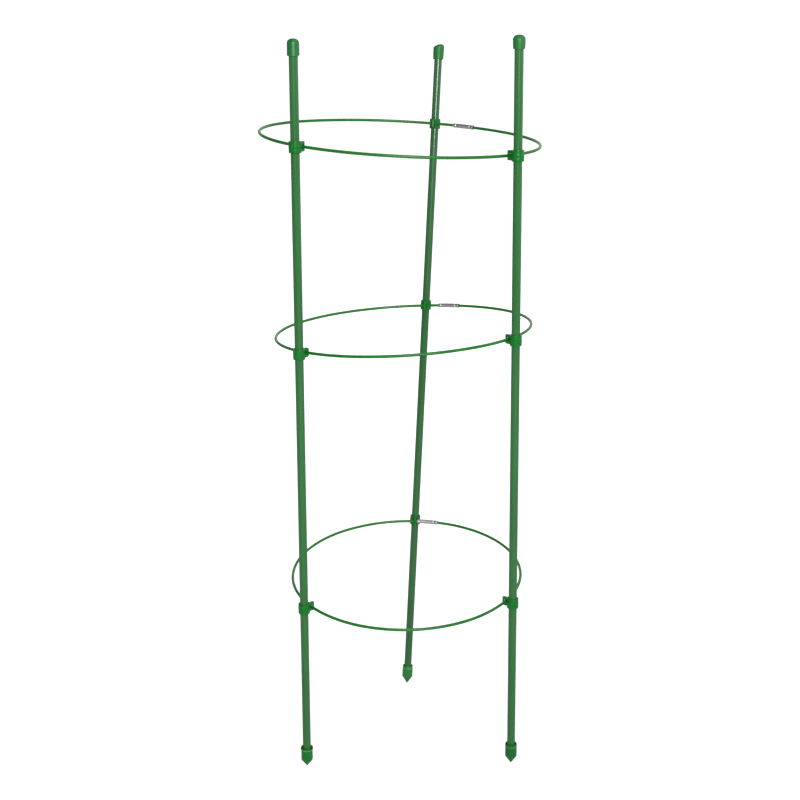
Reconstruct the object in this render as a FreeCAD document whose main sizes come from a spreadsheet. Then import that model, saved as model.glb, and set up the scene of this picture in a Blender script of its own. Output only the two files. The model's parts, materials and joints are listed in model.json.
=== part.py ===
import FreeCAD, Part
import math
import os

import Sketcher

# A three-legged plant support cage. Three coated steel stakes, each with a push-on cap and a push-on
# spike, carry three wire hoops. Every hoop threads the eyelets of three sliding clips, one on each
# stake, and its two ends meet inside a crimped metal sleeve.
# Millimetres, +Z up, the three spike tips on z = 0, the whole cage centred on the Z axis.

V = FreeCAD.Vector
STAKES = ("left", "right", "rear")
HOOPS = ("top", "middle", "bottom")

SIZES = {
    # stakes: where each one stands and where its top end is, seen from above
    "stake_length": 774.5,
    "left_foot_x": -112.4, "left_foot_y": -94.2, "left_top_x": -98.3, "left_top_y": -127.3,
    "right_foot_x": 112.7, "right_foot_y": -94.2, "right_top_x": 113.0, "right_top_y": -112.4,
    "rear_foot_x": -0.4, "rear_foot_y": 96.9, "rear_top_x": 46.3, "rear_top_y": 147.4,
    "tube_bore_radius": 3.5,
    "tube_radius": 3.9,
    "stake_radius": 4.4,
    # push-on caps
    "cap_radius": 6.15,
    "cap_roof": 3.2,
    "cap_dome": 5.4,
    "cap_rim_round": 0.35,
    "left_cap_length": 15.9, "right_cap_length": 13.4, "rear_cap_length": 17.9,
    # push-on spikes
    "spike_length": 24.0,
    "spike_cone": 9.2,
    "spike_radius": 6.45,
    "spike_shoulder": 1.6,
    "spike_floor": 11.0,
    "lip_radius": 6.9,
    "lip_height": 3.0,
    "lip_edge": 1.2,
    "mouth_radius": 6.15,
    "mouth_depth": 4.4,
    # clips: a collar round the stake and a flat lug with an eyelet for the hoop
    "clip_height": 11.0,
    "clip_bore_radius": 4.5,
    "collar_radius": 6.2,
    "collar_round": 0.5,
    "lug_root": 5.4,
    "lug_reach": 12.0,
    "lug_foot": 0.6,
    "lug_head": 10.4,
    "lug_thickness": 3.4,
    "lug_corner": 1.2,
    "eyelet_radius": 1.95,
    "eyelet_inner": 8.35,
    "eyelet_outer": 9.1,
    "eyelet_level": 5.5,
    # how far up each stake's axis the plane of each hoop crosses it
    "left_top_level": 674.6, "right_top_level": 661.3, "rear_top_level": 685.9,
    "left_middle_level": 471.1, "right_middle_level": 480.1, "rear_middle_level": 476.4,
    "left_bottom_level": 191.4, "right_bottom_level": 192.5, "rear_bottom_level": 214.2,
    # hoops: coated wire, and the sleeve that joins its ends
    "hoop_offset": 8.3,
    "top_hoop_radius": 145.5, "middle_hoop_radius": 136.6, "bottom_hoop_radius": 127.1,
    "wire_radius": 1.2,
    "coat_radius": 1.55,
    "wire_gap": 0.6,
    "sleeve_length": 25.0,
    "sleeve_radius": 2.35,
    "crimp_radius": 2.05,
    "crimp_width": 2.0,
    "crimp_inset": 4.0,
    # how far round its hoop each sleeve's middle is past the rear clip, in degrees
    "top_sleeve_turn": 14.6, "middle_sleeve_turn": 12.4, "bottom_sleeve_turn": 6.8,
}

doc = FreeCAD.newDocument("plant_support_cage")
dims = doc.addObject("Spreadsheet::Sheet", "dims")
for row, (alias, number) in enumerate(SIZES.items(), start=1):
    dims.set(f"A{row}", alias)
    dims.set(f"B{row}", str(number))
    dims.setAlias(f"B{row}", alias)
doc.recompute()


def size(alias):
    """A driving dimension, read back from the sheet."""
    return float(dims.get(alias))


def amount(total):
    """The value of a sum of dimensions, such as 'stake_length - cap_roof'."""
    value, sign = 0.0, 1.0
    for word in total.split():
        if word in "+-":
            sign = 1.0 if word == "+" else -1.0
        else:
            value += sign * size(word)
    return value


def formula(total):
    """The same sum as an expression on the sheet."""
    return " ".join(word if word in "+-" else f"dims.{word}" for word in total.split())


# ---- sketches and bodies ---------------------------------------------------------------------------

def new_body(label):
    body = doc.addObject("PartDesign::Body", label)
    body.Label = label
    return body


def new_sketch(body, name, role):
    """A sketch on one of the body's own origin planes."""
    sketch = body.newObject("Sketcher::SketchObject", f"{body.Name}_{name}")
    plane = next(f for f in body.Origin.OriginFeatures if f.Role == role)
    sketch.AttachmentSupport = [(plane, "")]
    sketch.MapMode = "FlatFace"
    return sketch


def bind(sketch, constraint, total):
    """Adds a constraint whose value is a sum of dimensions on the sheet."""
    index = sketch.addConstraint(constraint)
    sketch.setExpression(f"Constraints[{index}]", formula(total))


def pin_point(sketch, line, end, across, along):
    """Holds one end of a line, or a centre, at a place given as two sums, or '' for an axis."""
    for kind, total, axis in (("DistanceX", across, -2), ("DistanceY", along, -1)):
        if total:
            bind(sketch, Sketcher.Constraint(kind, -1, 1, line, end, amount(total)), total)
        else:
            sketch.addConstraint(Sketcher.Constraint("PointOnObject", line, end, axis))


def draw_outline(sketch, corners):
    """A closed outline of straight lines through corners, each a pair of sums."""
    points = [V(amount(across), amount(along), 0) for across, along in corners]
    last = len(points) - 1
    for index, point in enumerate(points):
        sketch.addGeometry(Part.LineSegment(point, points[0 if index == last else index + 1]))
    for index in range(last + 1):
        following = 0 if index == last else index + 1
        sketch.addConstraint(Sketcher.Constraint("Coincident", index, 2, following, 1))
    for index, (across, along) in enumerate(corners):
        pin_point(sketch, index, 1, across, along)


def draw_circle(sketch, across, radius):
    """A circle whose centre lies on the sketch's horizontal axis."""
    circle = Part.Circle(V(amount(across), 0, 0), V(0, 0, 1), amount(radius))
    index = sketch.addGeometry(circle)
    pin_point(sketch, index, 3, across, "")
    bind(sketch, Sketcher.Constraint("Radius", index, amount(radius)), radius)


def draw_slot(sketch, near, far, level, radius):
    """A slot with round ends, whose two end centres lie at one height."""
    reach, height = amount(radius), amount(level)
    near_centre, far_centre = V(amount(near), height, 0), V(amount(far), height, 0)
    quarter = math.pi / 2
    upright = V(0, 0, 1)
    ends = [Part.ArcOfCircle(Part.Circle(near_centre, upright, reach), quarter, 3 * quarter),
            Part.ArcOfCircle(Part.Circle(far_centre, upright, reach), -quarter, quarter)]
    side = V(0, reach, 0)
    sides = [Part.LineSegment(near_centre - side, far_centre - side),
             Part.LineSegment(far_centre + side, near_centre + side)]
    for shape in ends + sides:
        sketch.addGeometry(shape)
    for first, first_end, second, second_end in ((0, 2, 2, 1), (2, 2, 1, 1), (1, 2, 3, 1), (3, 2, 0, 1)):
        sketch.addConstraint(Sketcher.Constraint("Tangent", first, first_end, second, second_end))
    pin_point(sketch, 0, 3, near, level)
    pin_point(sketch, 1, 3, far, level)
    bind(sketch, Sketcher.Constraint("Radius", 0, reach), radius)


def turn(body, sketch, kind="Revolution", sweep=None, centred=False):
    """Turns a sketch about its vertical axis, all the way round or through a sweep expression."""
    feature = body.newObject(f"PartDesign::{kind}", f"{sketch.Name}_{kind.lower()}")
    feature.Profile = sketch
    feature.ReferenceAxis = (sketch, ["V_Axis"])
    feature.Midplane = centred
    if sweep:
        feature.setExpression("Angle", sweep)
    else:
        feature.Angle = 360.0
    return feature


def round_edges(body, base, name, radius, wanted):
    """Fillets the edges of the base feature that the wanted test picks."""
    doc.recompute()
    edges = [f"Edge{n}" for n, edge in enumerate(base.Shape.Edges, start=1) if wanted(edge)]
    if not edges:
        raise RuntimeError(f"{body.Label}: no edge to round for {name}")
    fillet = body.newObject("PartDesign::Fillet", f"{body.Name}_{name}")
    fillet.Base = (base, edges)
    fillet.setExpression("Radius", formula(radius))
    return fillet


def circle_edge(radius, height):
    """A test for a full circle of one radius at one height on the body's axis."""
    def wanted(edge):
        curve = edge.Curve
        return (isinstance(curve, Part.Circle) and abs(curve.Radius - amount(radius)) < 1e-3
                and abs(curve.Center.z - amount(height)) < 1e-3
                and math.hypot(curve.Center.x, curve.Center.y) < 1e-3)
    return wanted


def turned_body(label, corners):
    """A body of revolution from an outline of (radius, height) corners. Returns it and its feature."""
    body = new_body(label)
    outline = new_sketch(body, "outline", "XZ_Plane")
    draw_outline(outline, corners)
    return body, turn(body, outline)


# ---- the pieces of a stake -------------------------------------------------------------------------

def make_tube(label, bore, radius):
    """A plain tube from the floor of the spike to the roof of the cap."""
    low, high = "spike_floor", "stake_length - cap_roof"
    corners = [(bore, low), (radius, low), (radius, high), (bore, high)]
    return turned_body(label, corners)[0]


def make_cap(label, length):
    """A domed cap that covers the top end of the stake."""
    rim, roof = f"stake_length - {length}", "stake_length - cap_roof"
    corners = [("", roof), ("stake_radius", roof), ("stake_radius", rim),
               ("cap_radius", rim), ("cap_radius", "stake_length"), ("", "stake_length")]
    body, feature = turned_body(label, corners)
    dome = round_edges(body, feature, "dome", "cap_dome", circle_edge("cap_radius", "stake_length"))
    round_edges(body, dome, "rim", "cap_rim_round", circle_edge("cap_radius", rim))
    return body


def make_spike(label):
    """A pointed foot with a flared open mouth, pushed on to the bottom end of the stake."""
    flare = "spike_length - lip_height"
    corners = [("", ""), ("spike_radius", "spike_cone"), ("spike_radius", flare),
               ("lip_radius", "spike_length - lip_edge"), ("lip_radius", "spike_length"),
               ("mouth_radius", "spike_length"), ("stake_radius", "spike_length - mouth_depth"),
               ("stake_radius", "spike_floor"), ("", "spike_floor")]
    body, feature = turned_body(label, corners)
    round_edges(body, feature, "shoulder", "spike_shoulder", circle_edge("spike_radius", "spike_cone"))
    return body


# ---- clips -----------------------------------------------------------------------------------------

def make_clip(label):
    """A collar that slides on the stake, with a lug along +X and an eyelet through it along Y."""
    top = "clip_height"
    body, collar = turned_body(label, [("clip_bore_radius", ""), ("collar_radius", ""),
                                       ("collar_radius", top), ("clip_bore_radius", top)])
    rims = (circle_edge("collar_radius", ""), circle_edge("collar_radius", top))
    rounded = round_edges(body, collar, "rims", "collar_round",
                          lambda edge: any(rim(edge) for rim in rims))
    plate = new_sketch(body, "plate", "XZ_Plane")
    draw_outline(plate, [("lug_root", "lug_foot"), ("lug_reach", "lug_foot"),
                         ("lug_reach", "lug_head"), ("lug_root", "lug_head")])
    lug = body.newObject("PartDesign::Pad", f"{label}_lug")
    lug.Profile = plate
    lug.Midplane = True
    lug.setExpression("Length", "dims.lug_thickness")

    def outer_corner(edge):
        ends = [vertex.Point for vertex in edge.Vertexes]
        return (len(ends) == 2 and all(abs(end.x - size("lug_reach")) < 1e-3 for end in ends)
                and abs(ends[0].z - ends[1].z) < 1e-3)

    corners = round_edges(body, lug, "lug_corners", "lug_corner", outer_corner)
    slot = new_sketch(body, "eyelet", "XZ_Plane")
    draw_slot(slot, "eyelet_inner", "eyelet_outer", "eyelet_level", "eyelet_radius")
    eyelet = body.newObject("PartDesign::Pocket", f"{label}_eyelet_cut")
    eyelet.Profile = slot
    eyelet.Midplane = True
    eyelet.Type = "Length"
    eyelet.setExpression("Length", "dims.lug_thickness + dims.lug_thickness")
    doc.recompute()
    if not eyelet.Shape.Volume < corners.Shape.Volume < lug.Shape.Volume or not rounded.Shape.isValid():
        raise RuntimeError(f"{label}: the eyelet or the rounded corners removed nothing")
    return body


# ---- hoops -----------------------------------------------------------------------------------------

def around(hoop, length):
    """The angle that a length of wire takes up round a hoop, as an expression in degrees."""
    return f"({length}) / dims.{hoop}_hoop_radius * 180 / pi * 1 deg"


def make_hoop_ring(label, hoop, outer, inner=""):
    """The open ring of wire, or of its coating, with a narrow gap between its two ends."""
    body = new_body(label)
    section = new_sketch(body, "section", "XZ_Plane")
    for radius in filter(None, (outer, inner)):
        draw_circle(section, f"{hoop}_hoop_radius", radius)
    turn(body, section, sweep=f"360 deg - {around(hoop, 'dims.wire_gap')}")
    return body


def make_sleeve(label, hoop):
    """The metal sleeve over the two wire ends, squeezed in near each of its own ends."""
    body = new_body(label)
    section = new_sketch(body, "section", "XZ_Plane")
    for radius in ("sleeve_radius", "coat_radius"):
        draw_circle(section, f"{hoop}_hoop_radius", radius)
    plain = turn(body, section, sweep=around(hoop, "dims.sleeve_length"), centred=True)
    doc.recompute()
    volume = plain.Shape.Volume
    for name, side in (("front_crimp", "-"), ("back_crimp", "")):
        crimp = new_sketch(body, name, "XZ_Plane")
        offset = around(hoop, "dims.sleeve_length / 2 - dims.crimp_inset")
        crimp.AttachmentOffset = FreeCAD.Placement(V(0, 0, 0), FreeCAD.Rotation(V(0, 1, 0), 0))
        crimp.setExpression("AttachmentOffset.Rotation.Angle", f"{side}{offset}")
        for radius in ("sleeve_radius + crimp_width", "crimp_radius"):
            draw_circle(crimp, f"{hoop}_hoop_radius", radius)
        groove = turn(body, crimp, kind="Groove", sweep=around(hoop, "dims.crimp_width"), centred=True)
        doc.recompute()
        if not groove.Shape.Volume < volume - 1.0:
            raise RuntimeError(f"{label}: a crimp removed nothing")
        volume = groove.Shape.Volume
    return body


# ---- where everything goes -------------------------------------------------------------------------

def upright_frame(origin, along, towards):
    """A placement with its Z axis along one direction and its X axis towards another."""
    sideways = along.cross(towards)
    return FreeCAD.Placement(origin, FreeCAD.Rotation(towards, sideways, along, "ZXY"))


def stake_line(stake):
    """A stake's spike tip, and the direction from there to the middle of its cap's top."""
    foot = V(size(f"{stake}_foot_x"), size(f"{stake}_foot_y"), 0)
    across = V(size(f"{stake}_top_x"), size(f"{stake}_top_y"), 0) - foot
    rise = math.sqrt(size("stake_length") ** 2 - across.Length ** 2)
    return foot, (across + V(0, 0, rise)).normalize()


def crossing(stake, hoop):
    """The point on a stake's axis that a hoop's plane passes through."""
    foot, along = stake_line(stake)
    return foot + along * size(f"{stake}_{hoop}_level")


def hoop_circle(hoop):
    """The centre and upward normal of a hoop, which runs a little inside its three stakes."""
    points = [crossing(stake, hoop) for stake in STAKES]
    circle = Part.Circle(*points)
    play = circle.Radius - size("hoop_offset") - size(f"{hoop}_hoop_radius")
    if abs(play) > 0.2:
        raise RuntimeError(f"{hoop} hoop misses its eyelets by {play:.2f} mm")
    normal = V(circle.Axis)
    return V(circle.Center), normal if normal.z > 0 else normal * -1


def place_stake(pieces, stake):
    foot, along = stake_line(stake)
    for piece in pieces:
        piece.Placement = upright_frame(foot, along, V(1, 0, 0))


def place_clip(clip, stake, hoop):
    """The clip's lug points inwards, with its eyelet level with the hoop's wire."""
    foot, along = stake_line(stake)
    centre = hoop_circle(hoop)[0]
    outwards = (crossing(stake, hoop) - centre).normalize()
    wire = centre + outwards * size(f"{hoop}_hoop_radius")
    level = (wire - foot).dot(along)
    clip.Placement = upright_frame(foot + along * (level - size("eyelet_level")), along, outwards * -1)


def place_hoop(pieces, hoop):
    """The hoop's X axis runs through the middle of its sleeve, a turn past the rear clip."""
    centre, normal = hoop_circle(hoop)
    past_clip = FreeCAD.Rotation(normal, -size(f"{hoop}_sleeve_turn"))
    towards = past_clip.multVec(crossing("rear", hoop) - centre)
    for piece in pieces:
        piece.Placement = upright_frame(centre, normal, towards)


# ---- the cage --------------------------------------------------------------------------------------

parts = []
for stake in STAKES:
    pieces = [make_tube(f"{stake}_stake_tube", "tube_bore_radius", "tube_radius"),
              make_tube(f"{stake}_stake_coating", "tube_radius", "stake_radius"),
              make_cap(f"{stake}_stake_cap", f"{stake}_cap_length"),
              make_spike(f"{stake}_stake_spike")]
    place_stake(pieces, stake)
    parts += pieces
for hoop in HOOPS:
    pieces = [make_hoop_ring(f"{hoop}_hoop_wire", hoop, "wire_radius"),
              make_hoop_ring(f"{hoop}_hoop_coating", hoop, "coat_radius", "wire_radius"),
              make_sleeve(f"{hoop}_hoop_sleeve", hoop)]
    place_hoop(pieces, hoop)
    parts += pieces
    for stake in STAKES:
        clip = make_clip(f"{stake}_{hoop}_clip")
        place_clip(clip, stake, hoop)
        parts.append(clip)

doc.recompute()
for item in doc.Objects:
    if {"Invalid", "Error"} & set(item.State):
        raise RuntimeError(f"{item.Label} failed: {item.State}")
for piece in parts:
    if piece.Shape.isNull() or not piece.Shape.isValid() or len(piece.Shape.Solids) != 1:
        raise RuntimeError(f"{piece.Label} has no single valid solid")

os.makedirs("parts", exist_ok=True)
whole = FreeCAD.BoundBox()
for piece in parts:
    piece.Shape.exportStep(f"parts/{piece.Label}.step")
    whole.add(piece.Shape.optimalBoundingBox(False))
print(f"{len(parts)} pieces, from {whole.XMin:.2f} {whole.YMin:.2f} {whole.ZMin:.2f}"
      f" to {whole.XMax:.2f} {whole.YMax:.2f} {whole.ZMax:.2f}")
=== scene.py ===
"""A plant support cage: three coated steel stakes, three coated wire hoops and nine moulded clips.

Lengths are in millimetres up to the point where a mesh is made, and in metres after it.
"""

import json
import math

import bpy
import numpy as np
from mathutils import Matrix, Vector


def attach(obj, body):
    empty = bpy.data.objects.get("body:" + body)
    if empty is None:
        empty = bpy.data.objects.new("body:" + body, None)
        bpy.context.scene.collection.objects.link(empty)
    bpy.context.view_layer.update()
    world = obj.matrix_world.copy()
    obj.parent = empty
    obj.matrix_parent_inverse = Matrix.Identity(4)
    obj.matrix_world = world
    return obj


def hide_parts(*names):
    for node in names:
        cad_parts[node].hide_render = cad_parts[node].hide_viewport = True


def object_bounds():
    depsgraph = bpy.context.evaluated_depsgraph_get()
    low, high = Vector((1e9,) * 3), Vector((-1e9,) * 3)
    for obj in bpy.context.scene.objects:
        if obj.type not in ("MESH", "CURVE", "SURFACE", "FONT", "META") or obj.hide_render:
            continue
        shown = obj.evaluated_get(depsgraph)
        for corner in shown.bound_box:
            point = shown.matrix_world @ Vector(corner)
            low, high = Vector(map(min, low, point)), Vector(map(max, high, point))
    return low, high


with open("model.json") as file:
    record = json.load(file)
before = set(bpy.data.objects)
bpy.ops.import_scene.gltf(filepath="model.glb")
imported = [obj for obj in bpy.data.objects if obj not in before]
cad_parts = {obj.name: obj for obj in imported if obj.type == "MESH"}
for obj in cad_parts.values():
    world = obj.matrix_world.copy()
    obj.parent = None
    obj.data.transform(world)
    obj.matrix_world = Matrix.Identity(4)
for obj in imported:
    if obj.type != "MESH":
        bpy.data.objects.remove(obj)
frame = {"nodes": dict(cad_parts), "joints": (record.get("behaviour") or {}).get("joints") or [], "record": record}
CAD_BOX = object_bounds()

MM = 0.001
STAKES = ("left", "right", "rear")
HOOPS = ("top", "middle", "bottom")

# ---- sizes of the pieces ----------------------------------------------------------------------------

# They are the CAD model's, apart from the eyelet: it is as long as the model's and 0.4 mm less high.
STAKE_LENGTH = 774.5
STAKE_RADIUS = 4.4
TUBE_RADIUS = 3.9
CAP_ROOF = 3.2
SPIKE_FLOOR = 11.0
SHANK_MIDDLE = 15.3525
CLIP_HEIGHT = 11.0
CLIP_BORE = 4.5
COLLAR_RADIUS = 6.2
LUG_ROOT, LUG_REACH = 5.4, 12.0
LUG_FOOT, LUG_HEAD = 0.6, 10.4
LUG_THICKNESS = 3.4
EYELET_INNER, EYELET_OUTER = 8.15, 9.3
EYELET_RADIUS = 1.75
EYELET_LEVEL = 5.5
COAT_RADIUS = 1.55
SLEEVE_LENGTH = 25.0
SLEEVE_RADIUS = 2.35


# ---- where the stakes, hoops and clips are ----------------------------------------------------------

MOUNTS = {mount["name"]: mount for mount in frame["record"]["mounts"]}
JOINTS = {joint["name"]: joint for joint in frame["joints"]}
BODY_OF = {node: body for body, nodes in frame["record"]["behaviour"]["bodies"].items()
           for node in nodes}


def upright(origin, along, towards):
    """The matrix whose Z axis is one direction and whose X axis leans towards another."""
    z = Vector(along).normalized()
    y = z.cross(Vector(towards)).normalized()
    x = y.cross(z)
    matrix = Matrix((x, y, z)).transposed().to_4x4()
    matrix.translation = origin
    return matrix


def stake_line(stake):
    """A stake's spike tip, and the direction up it."""
    along = Vector(MOUNTS[f"{stake}_cap_shank"]["axis"]).normalized()
    shank = Vector(MOUNTS[f"{stake}_spike_shank"]["pos_m"])
    return shank - along * SHANK_MIDDLE * MM, along


def node_points(node):
    """The corners of a CAD node, one row each."""
    mesh = frame["nodes"][node].data
    points = np.empty(len(mesh.vertices) * 3)
    mesh.vertices.foreach_get("co", points)
    return points.reshape(-1, 3)


def hoop_circle(hoop):
    """A hoop's centre, upward normal, radius in metres and the direction to its sleeve."""
    joint = JOINTS[f"{hoop}_hoop_turn"]
    centre, normal = Vector(joint["pos_m"]), Vector(joint["axis"]).normalized()
    arms = node_points(f"{hoop}_hoop_coating") - np.array(centre)
    flat = arms - np.outer(arms @ np.array(normal), np.array(normal))
    radius = float(np.linalg.norm(flat, axis=1).max()) - COAT_RADIUS * MM
    sleeve = Vector(node_points(f"{hoop}_hoop_sleeve").mean(0)) - centre
    return centre, normal, radius, sleeve


def clip_frame(stake, hoop):
    """A clip stands on its stake, with its lug inwards and its eyelet level with the wire."""
    foot, along = stake_line(stake)
    centre, normal, radius, _ = hoop_circle(hoop)
    crossing = foot + along * ((centre - foot).dot(normal) / along.dot(normal))
    outwards = (crossing - centre).normalized()
    level = (centre + outwards * radius - foot).dot(along)
    return upright(foot + along * (level - EYELET_LEVEL * MM), along, -outwards)


# ---- mesh makers ------------------------------------------------------------------------------------

def finish_mesh(name, points, faces, sharp=None):
    """A mesh from points in millimetres, shaded smooth except where it turns by more than sharp."""
    mesh = bpy.data.meshes.new(name)
    mesh.from_pydata((np.asarray(points) * MM).tolist(), [], faces)
    mesh.validate()
    mesh.shade_smooth()
    if sharp:
        mesh.set_sharp_from_angle(angle=math.radians(sharp))
    return mesh


# The most of a straight run that one arc may take, where both of the run's ends are rounded or one is.
SHARED_RUN, WHOLE_RUN = 0.49, 0.97


def rounded(corners, steps=6):
    """An outline of (radius, height, rounding) corners, with each corner turned into an arc."""
    line = []
    last = len(corners) - 1
    for i, (r, z, rounding) in enumerate(corners):
        here = np.array((r, z), float)
        if not rounding or i in (0, last):
            line.append(here)
            continue
        before = np.array(corners[i - 1][:2], float) - here
        after = np.array(corners[i + 1][:2], float) - here
        reach_before, reach_after = np.linalg.norm(before), np.linalg.norm(after)
        before, after = before / reach_before, after / reach_after
        half = math.acos(np.clip(before @ after, -1, 1)) / 2
        share_before = SHARED_RUN if corners[i - 1][2] else WHOLE_RUN
        share_after = SHARED_RUN if corners[i + 1][2] else WHOLE_RUN
        cut = min(rounding / math.tan(half), reach_before * share_before, reach_after * share_after)
        radius = cut * math.tan(half)
        bisector = (before + after) / np.linalg.norm(before + after)
        hub = here + bisector * radius / math.sin(half)
        start, end = here + before * cut - hub, here + after * cut - hub
        span = math.acos(np.clip(start @ end / radius ** 2, -1, 1))
        for step in range(steps + 1):
            part = step / steps
            arm = (math.sin((1 - part) * span) * start + math.sin(part * span) * end) / math.sin(span)
            line.append(hub + arm)
    return np.array(line)


def spread(line, longest):
    """The same outline with extra points, so that no run is longer than longest."""
    points = [line[0]]
    for start, end in zip(line[:-1], line[1:]):
        count = max(1, math.ceil(np.linalg.norm(end - start) / longest))
        points += [start + (end - start) * (k + 1) / count for k in range(count)]
    return np.array(points)


def lathe(name, line, segments=64, bend=None, sharp=35):
    """The outline turned round the Z axis. Points on the axis are joined into a fan."""
    points, faces, rings = [], [], []
    turn = np.arange(segments) * 2 * math.pi / segments
    for r, z in line:
        if r < 1e-6:
            rings.append([len(points)])
            points.append((0.0, 0.0, z))
        else:
            rings.append(list(range(len(points), len(points) + segments)))
            points += list(zip(r * np.cos(turn), r * np.sin(turn), np.full(segments, z)))
    for low, high in zip(rings[:-1], rings[1:]):
        for k in range(segments):
            j = (k + 1) % segments
            a, b = low[k % len(low)], low[j % len(low)]
            c, d = high[j % len(high)], high[k % len(high)]
            face = list(dict.fromkeys((a, b, c, d)))
            if len(face) > 2:
                faces.append(face)
    points = np.array(points)
    if bend:
        points = bend(points)
    return finish_mesh(name, points, faces, sharp)


def ring_tube(name, radius, count, around, section, closed=True, span=2 * math.pi):
    """A tube that follows a circle in the XY plane. section(s, turn) gives its (out, up) offsets."""
    steps = np.linspace(0, 1, count, endpoint=not closed)
    turn = np.arange(around) * 2 * math.pi / around
    s, t = np.meshgrid(steps, turn, indexing="ij")
    out, up = section(s, t)
    angle = s * span
    points = np.stack(((radius + out) * np.cos(angle), (radius + out) * np.sin(angle), up), -1)
    faces = []
    for i in range(count if closed else count - 1):
        n = (i + 1) % count
        for k in range(around):
            j = (k + 1) % around
            faces.append((i * around + k, n * around + k, n * around + j, i * around + j))
    return finish_mesh(name, points.reshape(-1, 3), faces, sharp=40)


def smooth_min(a, b, blend):
    """The lesser of two distances, with a fillet of about the blend where they are equal."""
    share = np.clip(0.5 + 0.5 * (b - a) / blend, 0, 1)
    return b + (a - b) * share - blend * share * (1 - share)


def smooth_max(a, b, blend):
    """The greater of two distances, rounded in the same way."""
    return -smooth_min(-a, -b, blend)


def slab(u, v, half_u, half_v, corner):
    """The distance to a rectangle with round corners, negative inside it."""
    du, dv = np.abs(u) - half_u + corner, np.abs(v) - half_v + corner
    outside = np.hypot(np.maximum(du, 0), np.maximum(dv, 0))
    return outside + np.minimum(np.maximum(du, dv), 0) - corner


def surface_net(name, distance, low, high, pitch):
    """The surface where a distance function is zero, as a mesh with its points drawn on to it."""
    axes = [np.arange(a, b + pitch, pitch) for a, b in zip(low, high)]
    grid = np.stack(np.meshgrid(*axes, indexing="ij"), -1)
    value = distance(grid)
    inside = value < 0
    shape = np.array(value.shape) - 1
    total, crossings = np.zeros((*shape, 3)), np.zeros(shape)
    corners = [(i, j, k) for i in (0, 1) for j in (0, 1) for k in (0, 1)]

    def corner(array, c):
        return array[c[0]:c[0] + shape[0], c[1]:c[1] + shape[1], c[2]:c[2] + shape[2]]

    for c in corners:
        for axis in range(3):
            if c[axis]:
                continue
            d = tuple(v + (i == axis) for i, v in enumerate(c))
            a, b = corner(value, c), corner(value, d)
            crossed = corner(inside, c) != corner(inside, d)
            share = np.where(crossed, a / np.where(crossed, a - b, 1), 0)[..., None]
            place = corner(grid, c) * (1 - share) + corner(grid, d) * share
            total += np.where(crossed[..., None], place, 0)
            crossings += crossed
    used = crossings > 0
    index = np.full(shape, -1)
    index[used] = np.arange(used.sum())
    points = total[used] / crossings[used][:, None]
    faces = []
    for axis in range(3):
        u, v = (axis + 1) % 3, (axis + 2) % 3
        ahead = np.roll(inside, -1, axis)
        changed = inside != ahead
        limit = [slice(1, -1)] * 3
        limit[axis] = slice(0, -1)
        for cell in np.argwhere(changed[tuple(limit)]):
            place = cell + np.array([0 if i == axis else 1 for i in range(3)])
            step_u, step_v = np.eye(3, dtype=int)[u], np.eye(3, dtype=int)[v]
            around = [place - step_u - step_v, place - step_v, place, place - step_u]
            quad = [int(index[tuple(p)]) for p in around]
            faces.append(quad if inside[tuple(place)] else quad[::-1])
    nudge, passes, least_slope = 0.01, 4, 0.2
    for _ in range(passes):
        here = distance(points)
        slope = np.stack([(distance(points + step) - distance(points - step)) / (2 * nudge)
                          for step in np.eye(3) * nudge], -1)
        points = points - slope * (here / np.maximum((slope ** 2).sum(-1), least_slope))[:, None]
    return finish_mesh(name, points, faces)


# ---- placing pieces ---------------------------------------------------------------------------------

def place(name, mesh, matrix, node, material, own_axes=False):
    """A finished piece that stands for a CAD node and moves with its body.

    With own_axes the object carries the matrix, so its material can run along the piece.
    """
    piece = bpy.data.objects.new(name, mesh)
    bpy.context.scene.collection.objects.link(piece)
    if own_axes:
        piece.matrix_world = matrix
    else:
        mesh.transform(matrix)
    if not mesh.materials:
        mesh.materials.append(material)
    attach(piece, BODY_OF[node])
    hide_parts(node)
    return piece


# ---- materials --------------------------------------------------------------------------------------

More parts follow.
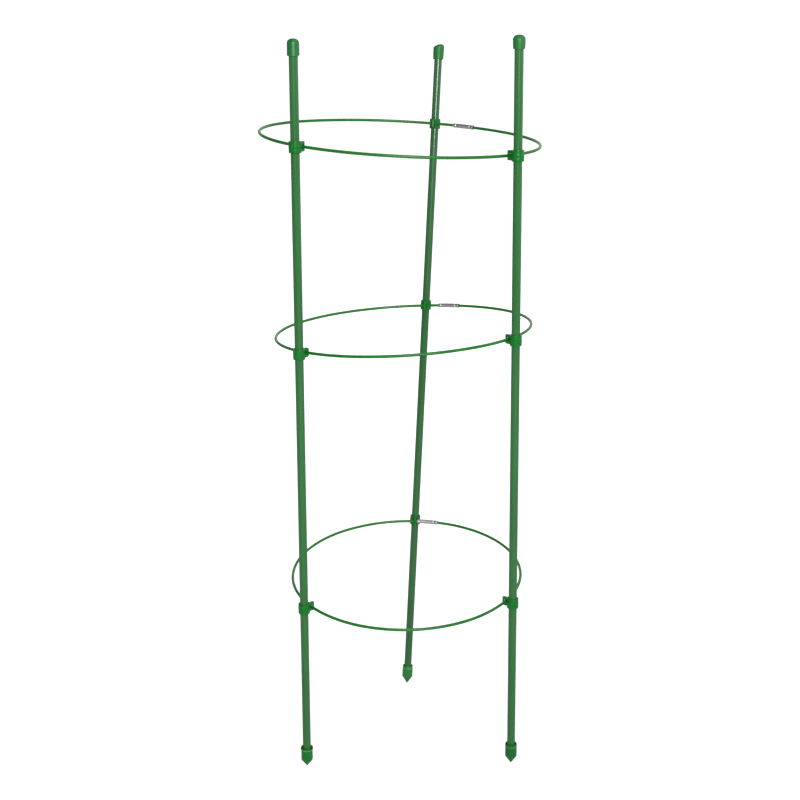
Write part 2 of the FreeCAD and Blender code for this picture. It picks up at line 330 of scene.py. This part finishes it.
class Finish:
    """A node material built up call by call, with the object's own coordinates to start from."""

    def __init__(self, name, **sockets):
        self.material = bpy.data.materials.new(name)
        self.material.use_nodes = True
        self.tree = self.material.node_tree
        self.shader = self.tree.nodes["Principled BSDF"]
        for socket, value in sockets.items():
            self.shader.inputs[socket.replace("_", " ")].default_value = value
        self.where = self.add("ShaderNodeTexCoord").outputs["Object"]

    def add(self, kind, **settings):
        node = self.tree.nodes.new(kind)
        for key, value in settings.items():
            setattr(node, key, value)
        return node

    def wire(self, source, target):
        self.tree.links.new(source, target)

    def noise(self, scale, detail=2.0, roughness=0.5, distortion=0.0):
        """Noise with its own scale along each axis, in cycles per metre."""
        mapping = self.add("ShaderNodeMapping")
        mapping.inputs["Scale"].default_value = scale
        self.wire(self.where, mapping.inputs["Vector"])
        noise = self.add("ShaderNodeTexNoise")
        noise.inputs["Scale"].default_value = 1.0
        noise.inputs["Detail"].default_value = detail
        noise.inputs["Roughness"].default_value = roughness
        noise.inputs["Distortion"].default_value = distortion
        self.wire(mapping.outputs["Vector"], noise.inputs["Vector"])
        return noise.outputs["Fac"]

    def ramp(self, source, *stops):
        """Colours or greys spread over a source's range, as (position, colour) stops."""
        node = self.add("ShaderNodeValToRGB")
        elements = node.color_ramp.elements
        while len(elements) < len(stops):
            elements.new(0.5)
        for element, (position, colour) in zip(elements, stops):
            element.position = position
            element.color = (*colour, 1) if isinstance(colour, tuple) else (colour, colour, colour, 1)
        self.wire(source, node.inputs["Fac"])
        return node.outputs["Color"]

    def mix(self, mode, amount, first, second):
        """Two colours blended by a fixed amount or by a socket."""
        node = self.add("ShaderNodeMix", data_type="RGBA", blend_type=mode)
        if isinstance(amount, float):
            node.inputs["Factor"].default_value = amount
        else:
            self.wire(amount, node.inputs["Factor"])
        self.wire(first, node.inputs["A"])
        self.wire(second, node.inputs["B"])
        return node.outputs["Result"]

    def set(self, socket, source):
        self.wire(source, self.shader.inputs[socket])

    def bump(self, source, height, after=None):
        """Relief of a real height in metres."""
        node = self.add("ShaderNodeBump")
        node.inputs["Strength"].default_value = 1.0
        node.inputs["Distance"].default_value = height
        self.wire(source, node.inputs["Height"])
        if after:
            self.wire(after, node.inputs["Normal"])
        return node.outputs["Normal"]


def stake_coating(name, pale, deep):
    """Extruded satin plastic: streaks and die lines along the stake, grain and rubbed patches."""
    look = Finish(name, IOR=1.46, Specular_IOR_Level=0.42)
    streaks = look.noise((520, 520, 5), 4, 0.6)
    clouds = look.noise((60, 60, 14), 3, 0.55)
    grain = look.noise((2300, 2300, 1500), 2, 0.6)
    colour = look.ramp(streaks, (0.28, deep), (0.72, pale))
    patches = look.ramp(clouds, (0.3, (0.86, 0.88, 0.86)), (0.7, (1.0, 1.0, 1.0)))
    speckle = look.ramp(grain, (0.3, (0.88, 0.9, 0.88)), (0.7, (1.0, 1.0, 1.0)))
    colour = look.mix("MULTIPLY", 1.0, colour, patches)
    look.set("Base Color", look.mix("MULTIPLY", 1.0, colour, speckle))
    look.set("Roughness", look.ramp(look.noise((300, 300, 25), 3), (0.3, 0.15), (0.7, 0.21)))
    lines = look.bump(look.noise((1500, 1500, 4), 2, 0.6), 0.000012)
    look.set("Normal", look.bump(grain, 0.000004, after=lines))
    return look.material


# Where the pale ring round the spikes' lip edge lies: paler thin plastic, and a painted highlight where the edge
# catches light.
PALE_LIP_HIGHLIGHT_HEIGHT = 0.0213
PALE_LIP_HIGHLIGHT_REACH = 0.002


def moulding(name, pale, deep, gloss, rough_low, rough_high, pale_lip_highlight=False):
    """Injection moulded plastic: flow marks, a faintly rippled skin and dull scuffs.

    With pale_lip_highlight, there is a pale ring at PALE_LIP_HIGHLIGHT_HEIGHT metres above the ground, at the edge
    of a spike's lip: partly paler thin plastic, partly a painted highlight where that edge catches the light.
    """
    look = Finish(name, IOR=1.48, Specular_IOR_Level=gloss)
    flow = look.noise((150, 150, 240), 4, 0.55, 0.6)
    grain = look.noise((1900, 1900, 1900), 2, 0.6)
    colour = look.ramp(flow, (0.25, deep), (0.75, pale))
    speckle = look.ramp(grain, (0.3, (0.9, 0.92, 0.9)), (0.7, (1.0, 1.0, 1.0)))
    colour = look.mix("MULTIPLY", 1.0, colour, speckle)
    # Painted highlight, with paler thin plastic: a yellow-green ring at the lower edge of the lip.
    if pale_lip_highlight:
        split = look.add("ShaderNodeSeparateXYZ")
        look.wire(look.where, split.inputs["Vector"])
        near = look.add("ShaderNodeMapRange")
        near.inputs["From Min"].default_value = PALE_LIP_HIGHLIGHT_HEIGHT - PALE_LIP_HIGHLIGHT_REACH
        near.inputs["From Max"].default_value = PALE_LIP_HIGHLIGHT_HEIGHT + PALE_LIP_HIGHLIGHT_REACH
        look.wire(split.outputs["Z"], near.inputs["Value"])
        amount = look.ramp(near.outputs["Result"], (0.38, 0.0), (0.46, 1.0), (0.54, 1.0), (0.62, 0.0))
        thin = look.ramp(flow, (0.3, (0.05, 0.3, 0.035)), (0.7, (0.14, 0.42, 0.06)))
        colour = look.mix("MIX", amount, colour, thin)
    look.set("Base Color", colour)
    look.set("Roughness", look.ramp(look.noise((220, 220, 220), 3), (0.2, rough_low), (0.8, rough_high)))
    rings = look.bump(look.noise((25, 25, 520), 1, 0.4), 0.000006)
    look.set("Normal", look.bump(grain, 0.0000012, after=rings))
    return look.material


def wire_coating(name, pale, deep):
    """The thin coating of the hoops: saturated, glossy, with slow changes of shade round the hoop."""
    look = Finish(name, IOR=1.47, Specular_IOR_Level=0.4)
    clouds = look.noise((45, 45, 45), 3, 0.55)
    grain = look.noise((2600, 2600, 2600), 2, 0.6)
    colour = look.ramp(clouds, (0.28, deep), (0.74, pale))
    speckle = look.ramp(grain, (0.3, (0.86, 0.88, 0.86)), (0.7, (1.0, 1.0, 1.0)))
    look.set("Base Color", look.mix("MULTIPLY", 1.0, colour, speckle))
    look.set("Roughness", look.ramp(look.noise((500, 500, 500), 2), (0.3, 0.28), (0.7, 0.42)))
    look.set("Normal", look.bump(look.noise((900, 900, 900), 2), 0.00004))
    return look.material


def bare_metal(name, pale, deep, rough_low, rough_high):
    """Drawn metal with fine scratches and a cloudy bloom."""
    look = Finish(name, Metallic=1.0)
    bloom = look.noise((260, 260, 260), 4, 0.6)
    scratch = look.noise((3200, 900, 3200), 2, 0.6)
    look.set("Base Color", look.ramp(bloom, (0.3, deep), (0.7, pale)))
    look.set("Roughness", look.ramp(scratch, (0.3, rough_low), (0.7, rough_high)))
    look.set("Normal", look.bump(scratch, 0.00003))
    return look.material


STAKE_LOOK = stake_coating("stake_coating_green", (0.032, 0.16, 0.04), (0.023, 0.132, 0.03))
# A darker copy of the stake coating: painted shade for the rear stake, which stands further from the lights.
SHADED_STAKE_LOOK = stake_coating("shaded_stake_coating_green", (0.032, 0.142, 0.04), (0.023, 0.116, 0.03))
CLIP_LOOK = moulding("clip_green", (0.004, 0.16, 0.017), (0.002, 0.13, 0.012), 0.3, 0.2, 0.28)
CAP_LOOK = moulding("cap_green", (0.005, 0.145, 0.018), (0.003, 0.12, 0.013), 0.5, 0.34, 0.4)
DULL_CAP_LOOK = moulding("dull_cap_green", (0.012, 0.16, 0.028), (0.008, 0.135, 0.02), 0.38, 0.42, 0.5)
SPIKE_LOOKS = {
    "left": moulding("left_spike_green", (0.004, 0.165, 0.018), (0.003, 0.138, 0.014), 0.3, 0.24, 0.32,
                     pale_lip_highlight=True),
    "right": moulding("right_spike_green", (0.007, 0.13, 0.022), (0.005, 0.108, 0.017), 0.3, 0.24, 0.32,
                      pale_lip_highlight=True),
    # The rear spike's paler, greyer green is a painted sheen.
    "rear": moulding("rear_spike_painted_sheen_green", (0.02, 0.18, 0.037), (0.015, 0.15, 0.03), 0.4, 0.28, 0.36,
                     pale_lip_highlight=True)}
WIRE_LOOK = wire_coating("wire_coating_green", (0.005, 0.18, 0.01), (0.002, 0.128, 0.005))
SLEEVE_LOOK = bare_metal("sleeve_metal", (0.62, 0.61, 0.61), (0.42, 0.41, 0.42), 0.3, 0.5)
STEEL_LOOK = bare_metal("drawn_steel", (0.5, 0.5, 0.49), (0.36, 0.36, 0.36), 0.25, 0.45)


# ---- stakes -----------------------------------------------------------------------------------------

def coating_mesh(stake, seed):
    """The coated tube. Its skin is a little uneven along its length, as an extrusion is."""
    low, high = SPIKE_FLOOR, STAKE_LENGTH - CAP_ROOF
    line = rounded([(TUBE_RADIUS + 0.02, low, 0), (STAKE_RADIUS, low, 0.15), (STAKE_RADIUS, high, 0.15),
                    (TUBE_RADIUS + 0.02, high, 0), (TUBE_RADIUS + 0.02, low, 0)])
    line = spread(line, 4.0)

    def uneven(points):
        x, y, z = points.T
        turn = np.arctan2(y, x)
        skin = np.hypot(x, y) > STAKE_RADIUS - 0.1
        swell = 0.012 * np.sin(z / 31 + seed) + 0.008 * np.sin(z / 11.7 + 2 * seed)
        ridge = 0.012 * np.cos(3 * turn + seed) + 0.008 * np.cos(7 * turn - seed + z / 160)
        grow = 1 + np.where(skin, (swell + ridge - 0.03) / STAKE_RADIUS, 0)
        return np.stack((x * grow, y * grow, z), -1)

    return lathe(f"{stake}_coating_mesh", line, 56, uneven)


def cap_mesh(stake, top, length, belly, rim_radius, dome, slant, droop):
    """A soft moulded cap with a round top and an open rim that stands a little off the stake.

    The top is lower on one side by the slant, and the front of the rim hangs by the droop.
    """
    rim = STAKE_LENGTH - length
    skirt = rounded([(0, top - CAP_ROOF, 0), (STAKE_RADIUS + 0.02, top - CAP_ROOF, 0.3),
                     (STAKE_RADIUS + 0.02, rim + 3.2, 1.0), (STAKE_RADIUS + 0.6, rim, 0.2),
                     (rim_radius, rim, 0.35), (rim_radius, rim + 1.4, 2.0),
                     (belly, rim + (length - dome) * 0.6, 8.0), (belly, top - dome, 0)], 12)
    arc = np.linspace(0, math.pi / 2, 17)[1:]
    crown = np.stack((belly * np.cos(arc) ** 0.85, top - dome + dome * np.sin(arc) ** 0.9), -1)
    crown[-1] = (0, top)
    line = spread(np.vstack((skirt, crown)), 1.0)

    def lean(points):
        x, y, z = points.T
        near = np.clip((z - (top - 8.5)) / 8.5, 0, 1)
        near = near * near * (3 - 2 * near)
        low = np.clip((rim + 7 - z) / 7, 0, 1) ** 2
        return np.stack((x, y, z - slant * near * (1 - x / belly) / 2 + droop * low * y / belly), -1)

    return lathe(f"{stake}_cap_mesh", line, 72, lean)


def spike_mesh(stake, top, cone, soft, body, lip, rim):
    """The pointed foot, from its sharp tip to the beaded mouth round the stake.

    Top and cone are heights of the mouth and of the cone's wide end, soft is the rounding there, and
    body, lip and rim are the radii of the foot, its bead and its mouth.
    """
    line = rounded([(0, 0, 0), (body + 0.1, cone, soft), (body, top - 2.7, 0.15), (lip, top - 2.3, 0.25),
                    (lip, top - 0.9, 0.9), (rim + 0.35, top, 0.45), (rim, top - 0.1, 0.3),
                    (rim - 0.8, top - 3.2, 0.8), (STAKE_RADIUS + 0.02, top - 5.0, 0.3),
                    (STAKE_RADIUS + 0.02, SPIKE_FLOOR, 0.2), (0, SPIKE_FLOOR, 0)], 8)
    line[0] = (0, 0)
    return lathe(f"{stake}_spike_mesh", spread(line, 1.2), 72)


CAPS = {
    "left": dict(top=STAKE_LENGTH - 0.6, length=15.9, belly=5.85, rim_radius=5.92, dome=4.7,
                 slant=0.0, droop=0.9),
    "right": dict(top=STAKE_LENGTH - 0.4, length=13.4, belly=6.0, rim_radius=5.72, dome=5.0,
                  slant=0.0, droop=0.5),
    "rear": dict(top=STAKE_LENGTH, length=17.9, belly=6.1, rim_radius=5.85, dome=4.2,
                 slant=2.8, droop=0.2)}
SPIKES = {
    "left": dict(top=23.5, cone=8.7, soft=3.0, body=6.3, lip=6.85, rim=6.2),
    "right": dict(top=24.3, cone=9.3, soft=1.7, body=6.35, lip=6.45, rim=5.7),
    "rear": dict(top=24.3, cone=9.9, soft=1.4, body=6.3, lip=6.15, rim=5.4)}
for number, stake in enumerate(STAKES):
    foot, along = stake_line(stake)
    stand = upright(foot, along, (1, 0, 0))
    # The rear stake takes the darker copy of the coating, as painted shade.
    place(f"{stake}_coated_stake", coating_mesh(stake, 1.7 * number), stand,
          f"{stake}_stake_coating", SHADED_STAKE_LOOK if stake == "rear" else STAKE_LOOK, own_axes=True)
    place(f"{stake}_moulded_cap", cap_mesh(stake, **CAPS[stake]), stand,
          f"{stake}_stake_cap", CAP_LOOK if stake == "left" else DULL_CAP_LOOK)
    place(f"{stake}_moulded_spike", spike_mesh(stake, **SPIKES[stake]), stand,
          f"{stake}_stake_spike", SPIKE_LOOKS[stake])


# ---- clips ------------------------------------------------------------------------------------------

GROOVE_LEVELS = (3.4, 7.6)
GROOVE_DEPTH, GROOVE_WIDTH = 0.08, 0.42
COLLAR_TAPER, LUG_TAPER = 0.1, 0.03
CLIP_FILLET, BORE_FILLET, EYELET_FILLET = 0.9, 0.25, 0.35


def clip_mesh(name, corner, edge):
    """One moulding: a collar, and a flat lug with an eyelet, joined by a soft fillet.

    Corner rounds the lug's outline, and edge rounds the edges between its outline and its two faces.
    """
    middle = CLIP_HEIGHT / 2

    def distance(p):
        x, y, z = p[..., 0], p[..., 1], p[..., 2]
        reach = np.hypot(x, y)
        groove = sum(GROOVE_DEPTH * np.exp(-((z - level) / GROOVE_WIDTH) ** 2) for level in GROOVE_LEVELS)
        taper = COLLAR_TAPER * np.abs(z - middle) / middle + groove
        wall = (CLIP_BORE + COLLAR_RADIUS) / 2
        collar = slab(reach - wall + taper / 2, z - middle, (COLLAR_RADIUS - CLIP_BORE) / 2 - taper / 2,
                      middle, 0.4)
        face = slab(x - (LUG_ROOT + LUG_REACH) / 2, z - (LUG_FOOT + LUG_HEAD) / 2,
                    (LUG_REACH - LUG_ROOT) / 2, (LUG_HEAD - LUG_FOOT) / 2, corner)
        thick = LUG_THICKNESS / 2 - LUG_TAPER * np.maximum(x - COLLAR_RADIUS, 0)
        a, b = face + edge, np.abs(y) - thick + edge
        lug = np.hypot(np.maximum(a, 0), np.maximum(b, 0)) + np.minimum(np.maximum(a, b), 0) - edge
        body = smooth_min(collar, lug, CLIP_FILLET)
        body = smooth_max(body, CLIP_BORE - reach, BORE_FILLET)
        along = x - np.clip(x, EYELET_INNER, EYELET_OUTER)
        hole = np.hypot(along, z - EYELET_LEVEL) - EYELET_RADIUS
        return smooth_max(body, -hole, EYELET_FILLET)

    margin, pitch = 0.6, 0.26
    low = (-COLLAR_RADIUS - margin, -COLLAR_RADIUS - margin, -margin)
    high = (LUG_REACH + margin, COLLAR_RADIUS + margin, CLIP_HEIGHT + margin)
    return surface_net(name, distance, low, high, pitch)


CLIP = clip_mesh("clip_mesh", corner=0.9, edge=0.8)
WORN_CLIP = clip_mesh("worn_clip_mesh", corner=2.2, edge=0.8)
ROUND_CLIP = clip_mesh("round_clip_mesh", corner=1.5, edge=1.5)
for hoop in HOOPS:
    for stake in STAKES:
        kind = WORN_CLIP if (stake, hoop) == ("left", "middle") else CLIP
        place(f"{stake}_{hoop}_moulded_clip", ROUND_CLIP if stake == "rear" else kind,
              clip_frame(stake, hoop), f"{stake}_{hoop}_clip", CLIP_LOOK, own_axes=True)


# ---- hoops ------------------------------------------------------------------------------------------

def coated_wire_mesh(hoop, radius, seed):
    """The closed ring of coated wire, a little wavy, as wire bent from a coil is."""
    def section(s, turn):
        angle = s * 2 * math.pi
        out = 0.06 * np.sin(5 * angle + seed) + 0.03 * np.sin(13 * angle - seed) - 0.09
        up = 0.06 * np.sin(4 * angle + 2 * seed) + 0.03 * np.sin(11 * angle + seed)
        thick = COAT_RADIUS - 0.02 + 0.015 * np.sin(29 * angle + seed) + 0.01 * np.cos(3 * turn + angle * 9)
        return out + thick * np.cos(turn), up + thick * np.sin(turn)
    return ring_tube(f"{hoop}_coated_wire_mesh", radius, 720, 20, section)


SLEEVE_WALL = 0.32
SLEEVE_ROWS, SLEEVE_AROUND = 150, 40
SEAM_TURN = 2.4


def sleeve_mesh(hoop, radius):
    """A rolled sheet sleeve: a seam along it, two crimps across it and rolled-in ends."""
    half = SLEEVE_LENGTH / 2
    outer = [(-half + SLEEVE_LENGTH * k / SLEEVE_ROWS, True) for k in range(SLEEVE_ROWS + 1)]
    inner = [(half - k * 0.5, False) for k in range(1, 5)]
    mouth = [(-half + k * 0.5, False) for k in range(4, 0, -1)]
    stations = mouth + outer + inner

    def section(s, turn):
        out, up = np.zeros_like(s), np.zeros_like(s)
        for row, (place_along, is_outer) in enumerate(stations):
            t = turn[row]
            end = half - abs(place_along)
            r = np.full_like(t, SLEEVE_RADIUS)
            r -= 0.12 * math.exp(-(end / 0.35) ** 2)
            crimp = math.exp(-((end - 4.0) / 0.95) ** 4)
            squeeze = 1 - 0.17 * crimp
            flare = 1 + 0.03 * math.exp(-((end - 1.6) / 0.8) ** 2)
            gap = np.abs((t - SEAM_TURN + math.pi) % (2 * math.pi) - math.pi)
            r -= 0.2 * np.exp(-(gap / 0.13) ** 2)
            if not is_outer:
                r = np.full_like(t, SLEEVE_RADIUS - SLEEVE_WALL)
            out[row] = r * np.cos(t) * (squeeze * flare if is_outer else 1)
            up[row] = r * np.sin(t) * ((1 - 0.08 * crimp) * flare if is_outer else 1)
        return out, up

    # The rows are made evenly spaced, and are then moved along the hoop to their own stations.
    mesh = ring_tube(f"{hoop}_sleeve_mesh", radius, len(stations), SLEEVE_AROUND, section, closed=False,
                     span=1.0)
    points = np.empty(len(mesh.vertices) * 3)
    mesh.vertices.foreach_get("co", points)
    points = points.reshape(len(stations), SLEEVE_AROUND, 3)
    for row, (place_along, _) in enumerate(stations):
        reach = np.hypot(points[row, :, 0], points[row, :, 1])
        angle = place_along / radius
        points[row, :, 0], points[row, :, 1] = reach * math.cos(angle), reach * math.sin(angle)
    mesh.vertices.foreach_set("co", points.ravel())
    mesh.update()
    return mesh


for number, hoop in enumerate(HOOPS):
    centre, normal, radius, to_sleeve = hoop_circle(hoop)
    lie = upright(centre, normal, to_sleeve)
    place(f"{hoop}_coated_wire", coated_wire_mesh(hoop, radius / MM, 2.3 * number), lie,
          f"{hoop}_hoop_coating", WIRE_LOOK)
    place(f"{hoop}_crimped_sleeve", sleeve_mesh(hoop, radius / MM), lie,
          f"{hoop}_hoop_sleeve", SLEEVE_LOOK)

for node in [f"{stake}_stake_tube" for stake in STAKES] + [f"{hoop}_hoop_wire" for hoop in HOOPS]:
    mesh = frame["nodes"][node].data
    mesh.materials.clear()
    mesh.materials.append(STEEL_LOOK)


# ---- floor, light and camera ------------------------------------------------------------------------

FLOOR_RADIUS = 9.0
FLOOR_DROP = 0.0002
BACKDROP_WHITE = 1.15
ROOM_LEFT, ROOM_RIGHT = 0.1, 0.55
CAMERA_PLACE = (-0.00394, -1.35335, 0.74656)
CAMERA_PITCH, CAMERA_ROLL = 14.695, -0.8416
CAMERA_LENS, CAMERA_SENSOR = 57.255, 36.0


def floor_disc():
    """A plain pale floor. It glows white to the camera, and only gives back light to the object."""
    mesh = bpy.data.meshes.new("floor_mesh")
    count, reach = 96, FLOOR_RADIUS
    points = [(reach * math.cos(2 * math.pi * k / count), reach * math.sin(2 * math.pi * k / count), 0)
              for k in range(count)]
    mesh.from_pydata(points, [], [list(range(count))])
    floor = bpy.data.objects.new("floor", mesh)
    bpy.context.scene.collection.objects.link(floor)
    floor.location.z = CAD_BOX[0].z - FLOOR_DROP
    look = Finish("floor_white", Roughness=0.9, Specular_IOR_Level=0.1)
    tone = look.ramp(look.noise((3, 3, 3)), (0.3, (0.5, 0.5, 0.5)), (0.7, (0.52, 0.52, 0.52)))
    look.set("Base Color", tone)
    apart = look.add("ShaderNodeVectorMath", operation="LENGTH")
    look.wire(look.where, apart.inputs[0])
    glow = look.add("ShaderNodeMapRange")
    for socket, value in (("From Min", 0.6), ("From Max", 2.5), ("To Min", 0.72), ("To Max", 1.1)):
        glow.inputs[socket].default_value = value
    look.wire(apart.outputs["Value"], glow.inputs["Value"])
    look.shader.inputs["Emission Color"].default_value = (1, 1, 1, 1)
    look.set("Emission Strength", glow.outputs["Result"])
    dark = look.add("ShaderNodeBsdfDiffuse")
    dark.inputs["Color"].default_value = (0.5, 0.5, 0.5, 1)
    seen = look.add("ShaderNodeLightPath").outputs["Is Camera Ray"]
    either = look.add("ShaderNodeMixShader")
    look.wire(seen, either.inputs["Fac"])
    look.wire(dark.outputs["BSDF"], either.inputs[1])
    look.wire(look.shader.outputs["BSDF"], either.inputs[2])
    look.wire(either.outputs["Shader"], look.tree.nodes["Material Output"].inputs["Surface"])
    mesh.materials.append(look.material)


def softbox(name, place_at, aim, width, height, power, tint=(1.0, 1.0, 1.0), mirrored=True):
    """A soft light of a size in metres and a power in watts, which the object may mirror or not."""
    light = bpy.data.lights.new(name, "AREA")
    light.shape = "RECTANGLE"
    light.size, light.size_y, light.energy, light.color = width, height, power, tint
    lamp = bpy.data.objects.new(name, light)
    bpy.context.scene.collection.objects.link(lamp)
    lamp.location = place_at
    lamp.rotation_euler = (Vector(aim) - Vector(place_at)).to_track_quat("-Z", "Y").to_euler()
    lamp.visible_camera = False
    lamp.visible_glossy = mirrored


def camera():
    """The photo's camera, as it was fitted to the stakes and hoops in the photo."""
    pitch, roll = math.radians(CAMERA_PITCH), math.radians(CAMERA_ROLL)
    flat = Vector((1, 0, 0))
    up = Vector((0, math.sin(pitch), math.cos(pitch)))
    back = Vector((0, -math.cos(pitch), math.sin(pitch)))
    right = flat * math.cos(roll) + up * math.sin(roll)
    top = up * math.cos(roll) - flat * math.sin(roll)
    data = bpy.data.cameras.new("camera")
    data.lens, data.sensor_width = CAMERA_LENS, CAMERA_SENSOR
    eye = bpy.data.objects.new("camera", data)
    bpy.context.scene.collection.objects.link(eye)
    matrix = Matrix((right, top, back)).transposed().to_4x4()
    matrix.translation = CAMERA_PLACE
    eye.matrix_world = matrix
    bpy.context.scene.camera = eye


def surroundings():
    """White behind the object, and a dimmer room round it that is darkest on the left."""
    world = bpy.data.worlds.new("studio")
    bpy.context.scene.world = world
    world.use_nodes = True
    tree = world.node_tree
    background = tree.nodes["Background"]
    background.inputs["Color"].default_value = (1, 1, 1, 1)
    where = tree.nodes.new("ShaderNodeTexCoord")
    split = tree.nodes.new("ShaderNodeSeparateXYZ")
    room = tree.nodes.new("ShaderNodeMapRange")
    for socket, value in (("From Min", -0.2), ("From Max", 0.5), ("To Min", ROOM_LEFT),
                          ("To Max", ROOM_RIGHT)):
        room.inputs[socket].default_value = value
    behind = tree.nodes.new("ShaderNodeMapRange")
    for socket, value in (("From Min", 0.72), ("From Max", 0.93), ("To Max", 0.75)):
        behind.inputs[socket].default_value = value
    both = tree.nodes.new("ShaderNodeMath")
    both.operation = "ADD"
    seen = tree.nodes.new("ShaderNodeLightPath").outputs["Is Camera Ray"]
    either = tree.nodes.new("ShaderNodeMix")
    either.inputs["B"].default_value = BACKDROP_WHITE
    tree.links.new(where.outputs["Generated"], split.inputs["Vector"])
    tree.links.new(split.outputs["X"], room.inputs["Value"])
    tree.links.new(split.outputs["Y"], behind.inputs["Value"])
    tree.links.new(room.outputs["Result"], both.inputs[0])
    tree.links.new(behind.outputs["Result"], both.inputs[1])
    tree.links.new(seen, either.inputs["Factor"])
    tree.links.new(both.outputs["Value"], either.inputs["A"])
    tree.links.new(either.outputs["Result"], background.inputs["Strength"])


floor_disc()
surroundings()
softbox("front_softbox", (0.26, -2.1, 1.09), (0.0, 0.0, 0.75), 0.9, 0.46, 41, (0.94, 0.9, 1.0))
softbox("bright_softbox", (0.2, -2.09, 1.3), (0.0, 0.0, 0.75), 0.32, 0.26, 7, (0.94, 0.92, 1.0))
softbox("wide_softbox", (0.2, -2.1, 0.6), (0.0, 0.0, 0.6), 1.4, 0.5, 1.8, (0.96, 0.94, 1.0))
softbox("low_fill", (-0.3, -0.45, 0.06), (-0.105, -0.09, 0.08), 0.2, 0.1, 0.1, mirrored=False)
softbox("right_wall", (1.7, -0.1, 0.8), (0.0, 0.0, 0.6), 2.2, 1.4, 6, (1.0, 0.96, 1.0))
softbox("left_wall", (-1.5, -0.9, 1.0), (0.0, 0.0, 0.7), 1.6, 1.0, 2.5, (1.0, 0.96, 1.0))
softbox("top_softbox", (0.3, -0.5, 2.4), (0.0, 0.0, 0.3), 1.4, 1.4, 9)
softbox("back_softbox", (-0.5, 1.9, 1.7), (0.0, 0.0, 0.4), 1.4, 1.0, 16, mirrored=False)
softbox("side_fill", (-1.9, 0.8, 1.1), (0.0, 0.0, 0.4), 1.2, 1.2, 9, mirrored=False)
camera()
bpy.context.scene.view_settings.view_transform = "Standard"
